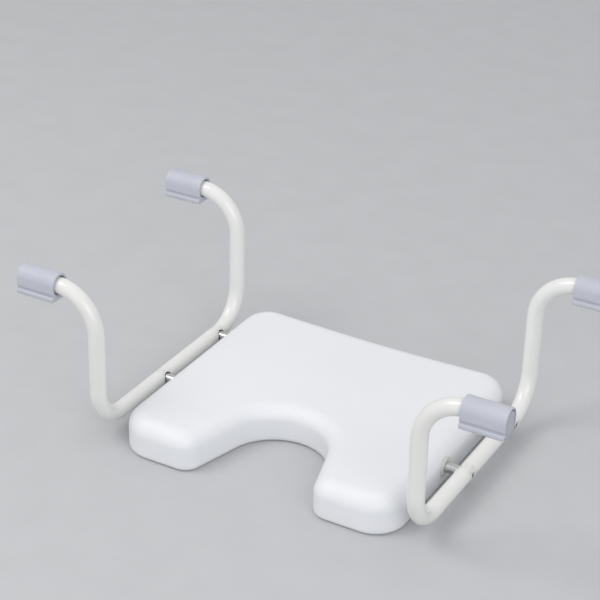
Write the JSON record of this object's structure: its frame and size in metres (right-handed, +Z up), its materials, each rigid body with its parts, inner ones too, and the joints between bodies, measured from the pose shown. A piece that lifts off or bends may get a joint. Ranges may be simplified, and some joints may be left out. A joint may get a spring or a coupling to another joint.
{
  "type": "rim-hung bath seat",
  "caption": "Horseshoe bath seat slung between two bent-tube hangers whose soft grips sit on the bath rims; chromed rods slide in the seat to set the width.",
  "frame": {"origin": "middle of the footprint at the underside of the seat", "axes": "+X across the bath from one hanger to the other, +Z up, the hygiene cut-out opens towards -Y"},
  "size_m": [0.772, 0.434, 0.268],
  "materials": {
    "seat_skin": "satin moulded white with a faint cool cast",
    "underside": "satin moulded light grey",
    "white_epoxy": "gloss epoxy coat on steel tube",
    "rod_chrome": "polished",
    "guide_steel": "drawn tube",
    "steel_small": "plain stainless",
    "nylon": "natural nylon",
    "brass": "turned",
    "knob_plastic": "moulded grey",
    "grip_rubber": "satin grey-blue"
  },
  "bodies": {
    "seat": {"seat_shell": "seat_skin", "seat_base": "underside", "guide_tube_front": "guide_steel", "guide_tube_back": "guide_steel", "guide_bush_left_front": "nylon", "guide_bush_left_back": "nylon", "guide_bush_right_front": "nylon", "guide_bush_right_back": "nylon", "thread_insert_left_front": "brass", "thread_insert_left_back": "brass", "thread_insert_right_front": "brass", "thread_insert_right_back": "brass", "base_screw_1": "steel_small", "base_screw_2": "steel_small", "base_screw_3": "steel_small", "base_screw_4": "steel_small", "base_screw_5": "steel_small", "base_screw_6": "steel_small", "base_screw_7": "steel_small", "base_screw_8": "steel_small"},
    "left_hanger": {"hanger_frame_left": "white_epoxy", "slide_rod_left_front": "rod_chrome", "slide_rod_left_back": "rod_chrome", "rod_screw_left_front": "steel_small", "rod_screw_left_back": "steel_small", "saddle_washer_left_front": "nylon", "saddle_washer_left_back": "nylon", "tube_plug_left_front": "knob_plastic", "tube_plug_left_back": "knob_plastic", "rim_grip_left_front": "grip_rubber", "rim_grip_left_back": "grip_rubber"},
    "right_hanger": {"hanger_frame_right": "white_epoxy", "slide_rod_right_front": "rod_chrome", "slide_rod_right_back": "rod_chrome", "rod_screw_right_front": "steel_small", "rod_screw_right_back": "steel_small", "saddle_washer_right_front": "nylon", "saddle_washer_right_back": "nylon", "tube_plug_right_front": "knob_plastic", "tube_plug_right_back": "knob_plastic", "rim_grip_right_front": "grip_rubber", "rim_grip_right_back": "grip_rubber"},
    "pad_left_front": {"clamp_pad_left_front": "nylon"},
    "knob_left_front": {"clamp_knob_left_front": "knob_plastic"},
    "pad_left_back": {"clamp_pad_left_back": "nylon"},
    "knob_left_back": {"clamp_knob_left_back": "knob_plastic"},
    "pad_right_front": {"clamp_pad_right_front": "nylon"},
    "knob_right_front": {"clamp_knob_right_front": "knob_plastic"},
    "pad_right_back": {"clamp_pad_right_back": "nylon"},
    "knob_right_back": {"clamp_knob_right_back": "knob_plastic"}
  },
  "joints": [
    {"name": "left_hanger_slide", "type": "slide", "parent": "seat", "child": "left_hanger", "axis": [-1, 0, 0], "range_m": [-0.015, 0.045]},
    {"name": "right_hanger_slide", "type": "slide", "parent": "seat", "child": "right_hanger", "axis": [1, 0, 0], "range_m": [-0.015, 0.045]},
    {"name": "pad_lift_left_front", "type": "slide", "parent": "seat", "child": "pad_left_front", "axis": [0, 0, 1], "range_m": [-0.0026, 0]},
    {"name": "knob_turn_left_front", "type": "hinge", "parent": "pad_left_front", "child": "knob_left_front", "pos_m": [-0.15, -0.028, 0.0035], "axis": [0, 0, 1], "range_deg": [-720, 0]},
    {"name": "pad_lift_left_back", "type": "slide", "parent": "seat", "child": "pad_left_back", "axis": [0, 0, 1], "range_m": [-0.0026, 0]},
    {"name": "knob_turn_left_back", "type": "hinge", "parent": "pad_left_back", "child": "knob_left_back", "pos_m": [-0.15, 0.13, 0.0035], "axis": [0, 0, 1], "range_deg": [-720, 0]},
    {"name": "pad_lift_right_front", "type": "slide", "parent": "seat", "child": "pad_right_front", "axis": [0, 0, 1], "range_m": [-0.0026, 0]},
    {"name": "knob_turn_right_front", "type": "hinge", "parent": "pad_right_front", "child": "knob_right_front", "pos_m": [0.15, -0.028, 0.0035], "axis": [0, 0, 1], "range_deg": [-720, 0]},
    {"name": "pad_lift_right_back", "type": "slide", "parent": "seat", "child": "pad_right_back", "axis": [0, 0, 1], "range_m": [-0.0026, 0]},
    {"name": "knob_turn_right_back", "type": "hinge", "parent": "pad_right_back", "child": "knob_right_back", "pos_m": [0.15, 0.13, 0.0035], "axis": [0, 0, 1], "range_deg": [-720, 0]}
  ],
  "couplings": [
    {"joint": "pad_lift_left_front", "follows": "knob_turn_left_front", "m_per_rad": 0.00019894},
    {"joint": "pad_lift_left_back", "follows": "knob_turn_left_back", "m_per_rad": 0.00019894},
    {"joint": "pad_lift_right_front", "follows": "knob_turn_right_front", "m_per_rad": 0.00019894},
    {"joint": "pad_lift_right_back", "follows": "knob_turn_right_back", "m_per_rad": 0.00019894}
  ]
}
